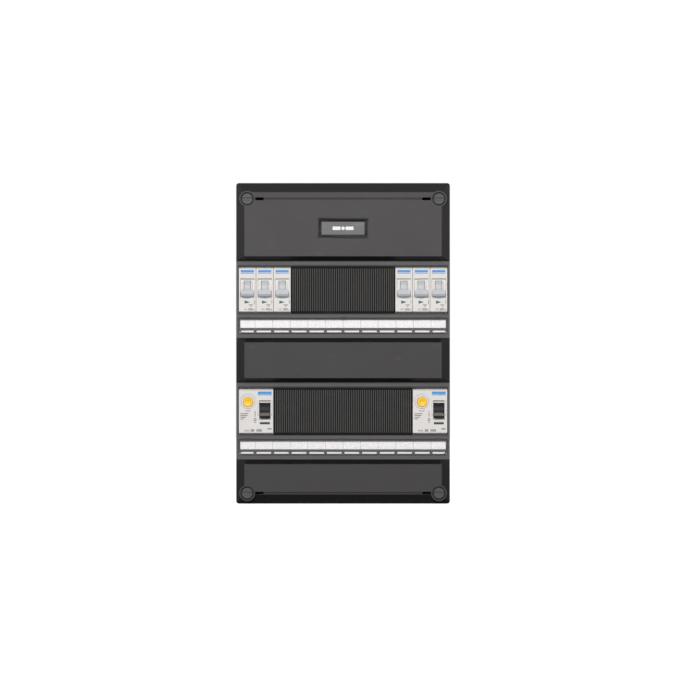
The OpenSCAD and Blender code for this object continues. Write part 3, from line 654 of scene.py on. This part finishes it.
def finish_for(slot):
    """The material of one of the record's slots, made the first time that it is asked for."""
    name = slot + "_finish"
    if name in bpy.data.materials:
        return bpy.data.materials[name]
    look = looks()
    makers = {
        "cover_plastic": lambda: moulding(
            name, look.cover_colour, 0.52, edge=0.9, gloss=0.2, zones=cover_zones
        ),
        "base_plastic": lambda: moulding(name, look.base_colour, 0.6, edge=0.8, gloss=0.1),
        "strip_plastic": lambda: moulding(
            name, look.strip_colour, 0.58, edge=0.15, gloss=0.1, zones=rib_floor_shade
        ),
        "flap_plastic": lambda: moulding(name, look.flap_colour, 0.45),
        "screw_plastic": lambda: moulding(name, look.cover_colour, 0.45, gloss=0.25),
        "badge_plastic": lambda: moulding(name, look.badge_colour, 0.42, cloud=0.04),
        "device_plastic": lambda: moulding(name, look.device_colour, 0.48, 0.4, 0.006, 0.025),
        "toggle_plastic": lambda: moulding(
            name, look.toggle_colour, 0.42, 0.4, 0.005, 0.025, zones=toggle_zones
        ),
        "toggle_black": lambda: moulding(
            name, look.black_colour, 0.5, 0.4, 0.006, gloss=0.15, zones=black_toggle_zones
        ),
        "button_plastic": lambda: moulding(name, look.button_colour, 0.36, 0.4, 0.004, 0.03),
        "latch_plastic": lambda: moulding(name, look.black_colour, 0.45),
        "clear_plastic": lambda: clear_pane(name),
        "card": lambda: card_stock(name, (0.89, 0.85, 0.85)),
        "zinc_steel": lambda: plated_steel(name, (0.62, 0.61, 0.58)),
        "brass_bar": lambda: drawn_metal(name, (0.72, 0.52, 0.22), 0.35),
        "copper_comb": lambda: drawn_metal(name, (0.78, 0.38, 0.24), 0.45),
        "wire_brown": lambda: insulation(name, (0.12, 0.05, 0.025)),
        "wire_blue": lambda: insulation(name, (0.02, 0.08, 0.35)),
    }
    return makers[slot]()


def dress_all(nodes, edge):
    """Dresses each node in its own slot's finish. edge is the widest rounding tried on it, in
    millimetres."""
    for node in nodes:
        dress(node, edge, finish_for(SLOT_OF[node]))


def device_shell(name):
    """The case and the latch of a device."""
    dress_all([f"{name}_case"], looks().device_edge / MM)
    dress_all([f"{name}_latch"], 0.3)


def toggle_piece(name, slot, blade, drum_half, axle_half):
    """A toggle: its lever's blade with a drum and an axle across it, of these half lengths."""
    pivot = PIVOTS[f"{name}_toggle_hinge"]
    drum = rounded_bar(DRUM_RADIUS, -drum_half, drum_half, DRUM_RIM)
    axle = rounded_bar(AXLE_RADIUS, -axle_half, axle_half, AXLE_RIM)
    parts = [
        blade,
        turned(drum, axis="x", at=pivot),
        turned(axle, sides=32, axis="x", at=pivot),
    ]
    piece = put_in(
        f"{name}_toggle_lever", *joined(parts), f"{name}_toggle", slot, finish_for(slot)
    )
    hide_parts(f"{name}_toggle")


def flags(names, material_name, green, turn_deg):
    """The contact flags of a row's devices, which show red after a turn."""
    pivot = PIVOTS[f"{names[0]}_flag_turn"]
    drum = flag_drum(material_name, pivot, green, looks().flag_red, math.radians(turn_deg))
    for name in names:
        dress(f"{name}_flag", 0.15, drum)


# ---- pieces ----


class CABINET_OT_shell(bpy.types.Operator):
    """Build the base, its rails and its earth bar"""

    bl_idname = "cabinet.shell"
    bl_label = "Base, rails and earth bar"

    def execute(self, context):
        dress_all(["base"], 0.4)
        dress_all(["din_rail_upper", "din_rail_lower", "rail_screws", "earth_bar_screws"], 0.12)
        dress_all(["earth_bar"], 0.3)
        return {"FINISHED"}


class CABINET_OT_cover(bpy.types.Operator):
    """Build the cover, its badge, blanking strips and quarter-turn screws"""

    bl_idname = "cabinet.cover"
    bl_label = "Cover, badge, strips and screws"

    def execute(self, context):
        dress_all(["front_cover"], looks().cover_edge / MM)
        dress_all(["badge"], 0.25)
        dress_all(["blank_strip_upper", "blank_strip_lower"], 0.16)
        ends = [f"cover_screw_{v}_{h}" for v in ("top", "bottom") for h in ("left", "right")]
        dress_all(ends, 0.14)
        self.mark()
        return {"FINISHED"}

    def mark(self):
        """A plain mark on the badge: a dot between two bars."""
        low, high = box_mm("badge")
        middle = centre_mm("badge")
        height = (high[2] - low[2]) * 0.26
        outlines = [
            bar(middle[0] + side * height * 1.9, middle[2], height * 2.3, height) for side in (-1, 1)
        ]
        outlines += [
            arc_band(middle[0], middle[2], height * 0.25, height * 0.5, start, start + 180)
            for start in (0, 180)
        ]
        points, faces = joined([plate(o, low[1] - 0.06, low[1] + 0.05) for o in outlines])
        material = ink("badge_ink", looks().mark_colour)
        put_in("badge_mark", points, faces, "cover", "badge_plastic", material)


class CABINET_OT_labels(bpy.types.Operator):
    """Build the label flaps with their windows and cards"""

    bl_idname = "cabinet.labels"
    bl_label = "Label flaps"

    def execute(self, context):
        dress_all([f"label_frame_{row}" for row in ROWS], 0.22)
        dress_all([f"label_window_{row}" for row in ROWS], 0.1)
        dress_all([f"label_card_{row}" for row in ROWS], 0.05)
        return {"FINISHED"}


def name_bars(x, row, width):
    """Outlines of a blue bar and the thin line under it, over a device's toggle."""
    return [bar(x, row + 19.2, width, 2.4), bar(x, row + 17.1, width, 0.7)]


def marks_piece(name, face_y, blue, grey):
    """Printed marks on a device's face, in blue and in grey ink, as plates of ink."""
    inks = [finish_ink("blue_ink", looks().blue_ink), finish_ink("grey_ink", looks().grey_ink)]
    shells = [plate(outline, face_y - INK_RISE, face_y + INK_ROOT) for outline in blue + grey]
    points, faces = joined(shells)
    piece = put_in(name, points, faces, "box", "device_plastic", inks[0])
    piece.data.materials.append(inks[1])
    middles = np.zeros(len(piece.data.polygons) * 3, np.float32)
    piece.data.polygons.foreach_get("center", middles)
    lowest_blue = min(np.min(outline[:, 1]) for outline in blue) * MM
    is_grey = middles.reshape(-1, 3)[:, 2] < lowest_blue - 0.1 * MM
    piece.data.polygons.foreach_set("material_index", is_grey.astype(np.int32))


def finish_ink(name, colour):
    """An ink, made the first time that it is asked for."""
    return bpy.data.materials[name] if name in bpy.data.materials else ink(name, colour)


def ticks(x, z, count, step, width, height):
    """Outlines of a row of upright ticks."""
    return [bar(x + i * step, z, width, height) for i in range(count)]


class CABINET_OT_breakers(bpy.types.Operator):
    """Build the six breakers with their toggles, flags, latches and printed marks"""

    bl_idname = "cabinet.breakers"
    bl_label = "Breakers"

    def execute(self, context):
        for name in BREAKERS:
            device_shell(name)
            self.toggle(name)
            self.marks(name)
        flags(BREAKERS, "flag_upper", looks().flag_green, -105)
        return {"FINISHED"}

    def toggle(self, name):
        """A drum with a paddle that flares out to nearly the module's width. Its flare starts
        beyond the collars of the case, which it turns between."""
        pivot = PIVOTS[f"{name}_toggle_hinge"]
        neck_half = 3.3
        axle_half = 4.7
        flare_start, flare_length, flare_width = 9.2, 2.8, 3.48
        root_half, taper_start, taper_length, taper = 2.48, 10.9, 7.1, 0.95

        def half_width(out):
            flare = np.clip((out - flare_start) / flare_length, 0, 1)
            return neck_half + flare_width * np.sqrt(flare * (2 - flare))

        def half_height(out):
            return root_half - taper * np.clip((out - taper_start) / taper_length, 0, 1)

        reach = (LEVER_START, taper_start + taper_length)
        blade = lever(pivot, REST_TILT, reach, half_width, half_height, tip_round=0.3, square=9)
        toggle_piece(name, "toggle_plastic", blade, neck_half, axle_half)

    def marks(self, name):
        """Two blue bars over the toggle, a stepped sign beside the flag, and ticks at the foot."""
        face = box_mm(f"{name}_case")[0][1]
        x, _, row = centre_mm(f"{name}_case")
        blue = name_bars(x, row, 13.6)
        grey = [bar(x + 7.3, row - 12.4, 0.45, 4.2)]
        grey += [bar(x + 3.7, row - 15.2 - i, 4.6 - 1.7 * i, 0.45) for i in range(3)]
        grey += ticks(x - 3.1, row - 20.0, 4, 0.85, 0.3, 1.7)
        grey += ticks(x + 1.5, row - 20.0, 5, 0.95, 0.5, 2.4)
        grey += ticks(x + 6.6, row - 20.3, 2, 0.8, 0.35, 1.6)
        marks_piece(f"{name}_marks", face, blue, grey)


class CABINET_OT_residuals(bpy.types.Operator):
    """Build the residual-current breakers with their toggles, flags, buttons and printed marks"""

    bl_idname = "cabinet.residuals"
    bl_label = "Residual-current breakers"

    def execute(self, context):
        for name in RESIDUALS:
            device_shell(name)
            self.toggle(name)
            self.button(name)
            self.spring(name)
            self.marks(name)
        flags(RESIDUALS, "flag_lower", shade(looks().flag_green, 0.25), -90)
        return {"FINISHED"}

    def toggle(self, name):
        """A drum nearly as wide as its straight grip."""
        pivot = PIVOTS[f"{name}_toggle_hinge"]
        grip_half = 5.42
        drum_half = 5.45
        axle_half = 6.9
        root_half, taper_start, taper_length, taper = 2.08, 10.0, 7.0, 1.1

        def half_width(out):
            return np.full_like(out, grip_half)

        def half_height(out):
            return root_half - taper * np.clip((out - taper_start) / taper_length, 0, 1)

        reach = (LEVER_START, taper_start + taper_length)
        blade = lever(pivot, REST_TILT, reach, half_width, half_height, tip_round=0.4)
        toggle_piece(name, "toggle_black", blade, drum_half, axle_half)

    def button(self, name):
        """A round button with a rounded rim and a shallow dish in its face, on a stem."""
        low, high = box_mm(f"{name}_test_button")
        middle = (low + high) / 2
        radius = (high[0] - low[0]) / 2
        front = low[1]
        back = front + 9
        rim = 0.9
        chamfer = 0.2
        stem_radius = 1.6
        dish = np.linspace(0.02, 1, 12)
        sunk = 0.45 * np.cos(dish * np.pi / 2) ** 2
        face = np.stack([dish * (radius - 1.0), front + sunk], axis=1)
        turn = np.linspace(0, np.pi / 2, 7)
        edge = np.stack([radius - rim + rim * np.sin(turn), front + rim - rim * np.cos(turn)], axis=1)
        foot = [(radius, back - chamfer), (radius - chamfer, back)]
        profile = np.concatenate([face, edge, foot])
        at = (middle[0], 0, middle[2])
        stem = rounded_bar(stem_radius, back - 1, high[1], 0.3)
        parts = [turned(profile, at=at), turned(stem, sides=32, at=at)]
        piece = put_in(
            f"{name}_button_cap", *joined(parts), f"{name}_test_button", "button_plastic",
            finish_for("button_plastic"),
        )
        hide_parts(f"{name}_test_button")

    def spring(self, name):
        """A coil spring under the button: a helix with closed ends, swept by a round wire."""
        node = f"{name}_button_spring"
        low, high = box_mm(node)
        middle = (low + high) / 2
        wire = 0.35
        turns = 5
        closed_turns = 0.8
        open_turns = 3.4
        turn = np.linspace(0, 2 * np.pi * turns, turns * 24)
        climb = np.clip((turn / (2 * np.pi) - closed_turns) / open_turns, 0, 1)
        radius = (high[0] - low[0]) / 2 - wire
        path = np.stack([
            middle[0] + radius * np.cos(turn),
            low[1] + wire + (high[1] - low[1] - 2 * wire) * climb,
            middle[2] + radius * np.sin(turn),
        ], axis=1)
        coil = tube(path, wire, 10)
        piece = put_in(
            f"{name}_button_coil", *coil, "box", "zinc_steel", finish_for("zinc_steel"), sharp_deg=60
        )
        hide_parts(node)
        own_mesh(piece)

    def marks(self, name):
        """Blue bars over the toggle, bars and a ring beside it, and ticks at the foot. The face
        lies behind the raised rims beside the toggle."""
        rim_rise = 0.6
        face = box_mm(f"{name}_case")[0][1] + rim_rise
        x, _, row = centre_mm(f"{name}_case")
        button = centre_mm(f"{name}_test_button")
        blue = name_bars(x + 9.0, row, 14.2)
        grey = [arc_band(button[0], button[2], 9.3, 0.5, 253, 287)]
        lengths = (8.0, 7.2, 5.4, 3.2)
        grey += [bar(x - 16 + w / 2, row - 2.4 - 1.8 * i, w, 0.6) for i, w in enumerate(lengths)]
        grey += [bar(x - 1.0, row - 2.6, 0.6, 5.8)]
        grey += [arc_band(x - 1.0, row - 8.5, 1.15, 0.5, a, a + 180) for a in (0, 180)]
        grey += [bar(x - 1.0, row - 11.2, 1.8, 0.5)]
        grey += ticks(x - 11.7, row - 19.8, 5, 1.05, 0.35, 1.8)
        grey += ticks(x - 5.0, row - 19.6, 4, 0.9, 0.55, 2.4)
        grey += ticks(x + 0.9, row - 19.6, 6, 0.95, 0.55, 2.4)
        grey += [bar(x + 13.8, row - 17.4 - i, 4.2, 0.4) for i in range(2)]
        marks_piece(f"{name}_marks", face, blue, grey)


class CABINET_OT_wiring(bpy.types.Operator):
    """Build the combs, the wires between the rows and the terminal screws"""

    bl_idname = "cabinet.wiring"
    bl_label = "Combs, wires and terminal screws"

    def execute(self, context):
        dress_all(["busbar_combs"], 0.12)
        dress_all(["terminal_screws"], 0.15)
        self.wires("wires_live", "wire_brown", -1, ("mcb_1", "mcb_5"))
        self.wires("wires_neutral", "wire_blue", 1, ("mcb_2", "mcb_6"))
        return {"FINISHED"}

    def wires(self, node, slot, side, breakers):
        """Two wires that rise from the lower row and lean over to their breakers as a smooth step."""
        low, high = box_mm(node)
        radius = (high[1] - low[1]) / 2
        residual_terminal = 9.0
        breaker_terminal = 4.3
        rise = np.linspace(0, 1, 60)
        lean = np.clip((rise - 0.15) / 0.7, 0, 1)
        lean = lean * lean * (3 - 2 * lean)
        shells = []
        for below, above in zip(RESIDUALS, breakers):
            start = centre_mm(f"{below}_case")[0] + side * residual_terminal
            end = centre_mm(f"{above}_case")[0] + side * breaker_terminal
            path = np.stack([
                start + (end - start) * lean,
                np.full_like(rise, (low[1] + high[1]) / 2),
                low[2] + (high[2] - low[2]) * rise,
            ], axis=1)
            shells.append(tube(path, radius))
        piece = put_in(node + "_drawn", *joined(shells), "box", slot, finish_for(slot))
        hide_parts(node)


class CABINET_OT_stage(bpy.types.Operator):
    """Set up the floor, the studio light and the camera"""

    bl_idname = "cabinet.stage"
    bl_label = "Stage"

    def execute(self, context):
        self.floor()
        self.world(context.scene)
        for lamp in LAMPS:
            self.light(*lamp)
        self.camera(context.scene)
        return {"FINISHED"}

    def floor(self):
        """A wide pale disc under the box."""
        bottom = CAD_BOUNDS[0][2] / MM
        radius = 2600
        gap = 0.2
        turn = np.linspace(0, 2 * np.pi, 128, endpoint=False)
        points = np.stack([np.cos(turn), np.sin(turn), np.zeros_like(turn)], axis=1) * radius
        points[:, 2] = bottom - gap
        mesh = bpy.data.meshes.new("floor")
        mesh.from_pydata((points * MM).tolist(), [], [list(range(len(turn)))])
        f = Finish("floor_paint")
        speck = f.noise(300.0, 2.0)
        mesh.materials.append(f.surface(
            base_color=f.mix(speck, (0.9, 0.9, 0.9), (0.93, 0.93, 0.93)), roughness=0.9,
            emission_color=rgba(WHITE), emission_strength=0.8,
        ))
        floor = bpy.data.objects.new("floor", mesh)
        floor.visible_diffuse = False
        floor.visible_glossy = False
        bpy.context.scene.collection.objects.link(floor)

    def world(self, scene):
        """A white surround to look at, and a dimmer one to light by."""
        world = bpy.data.worlds.new("studio")
        world.use_nodes = True
        nodes, links = world.node_tree.nodes, world.node_tree.links
        nodes.clear()
        seen, lit = nodes.new("ShaderNodeBackground"), nodes.new("ShaderNodeBackground")
        for background, strength in ((seen, 1.0), (lit, 0.06)):
            background.inputs["Strength"].default_value = strength
            background.inputs["Color"].default_value = rgba(WHITE)
        path = nodes.new("ShaderNodeLightPath")
        mixed = nodes.new("ShaderNodeMixShader")
        out = nodes.new("ShaderNodeOutputWorld")
        links.new(path.outputs["Is Camera Ray"], mixed.inputs[0])
        links.new(lit.outputs[0], mixed.inputs[1])
        links.new(seen.outputs[0], mixed.inputs[2])
        links.new(mixed.outputs[0], out.inputs["Surface"])
        scene.world = world
        scene.view_settings.view_transform = "Standard"

    def light(self, name, place, size, power):
        """A round lamp that faces the box."""
        data = bpy.data.lights.new(name, "AREA")
        data.shape = "DISK"
        data.size = size
        data.energy = power
        lamp = bpy.data.objects.new(name, data)
        lamp.location = place
        lamp.rotation_euler = (-Vector(place)).to_track_quat("-Z", "Y").to_euler()
        bpy.context.scene.collection.objects.link(lamp)

    def camera(self, scene):
        """A long lens square to the front, close to the box's centre."""
        low, high = (Vector(corner) for corner in CAD_BOUNDS)
        middle = (low + high) / 2
        data = bpy.data.cameras.new("camera")
        data.lens = 200
        data.sensor_width = 36
        seen_width = 0.7025
        aside = -0.55 * MM
        above = 0.85 * MM
        distance = seen_width / 2 / (data.sensor_width / 2 / data.lens)
        camera = bpy.data.objects.new("camera", data)
        camera.location = (middle.x + aside, low.y - distance, middle.z + above)
        camera.rotation_euler = (math.pi / 2, 0, 0)
        data.clip_end = 100
        scene.collection.objects.link(camera)
        scene.camera = camera


class CABINET_PT_sidebar(bpy.types.Panel):
    """Lists the parts of the distribution box and its colours"""

    bl_idname = "CABINET_PT_sidebar"
    bl_label = "Distribution box"
    bl_space_type = "VIEW_3D"
    bl_region_type = "UI"
    bl_category = "Distribution box"

    def draw(self, context):
        for operator in OPERATORS:
            self.layout.operator(operator.bl_idname)
        for name in BoxLooks.__annotations__:
            self.layout.prop(context.scene.box_looks, name)


OPERATORS = (
    CABINET_OT_shell, CABINET_OT_cover, CABINET_OT_labels, CABINET_OT_breakers,
    CABINET_OT_residuals, CABINET_OT_wiring, CABINET_OT_stage,
)
CLASSES = (BoxLooks, *OPERATORS, CABINET_PT_sidebar)


def register():
    for made in CLASSES:
        bpy.utils.register_class(made)
    bpy.types.Scene.box_looks = bpy.props.PointerProperty(type=BoxLooks)


def unregister():
    del bpy.types.Scene.box_looks
    for made in reversed(CLASSES):
        bpy.utils.unregister_class(made)


def main():
    register()
    bpy.ops.cabinet.shell()
    bpy.ops.cabinet.cover()
    bpy.ops.cabinet.labels()
    bpy.ops.cabinet.breakers()
    bpy.ops.cabinet.residuals()
    bpy.ops.cabinet.wiring()
    bpy.ops.cabinet.stage()


if __name__ == "__main__":
    main()
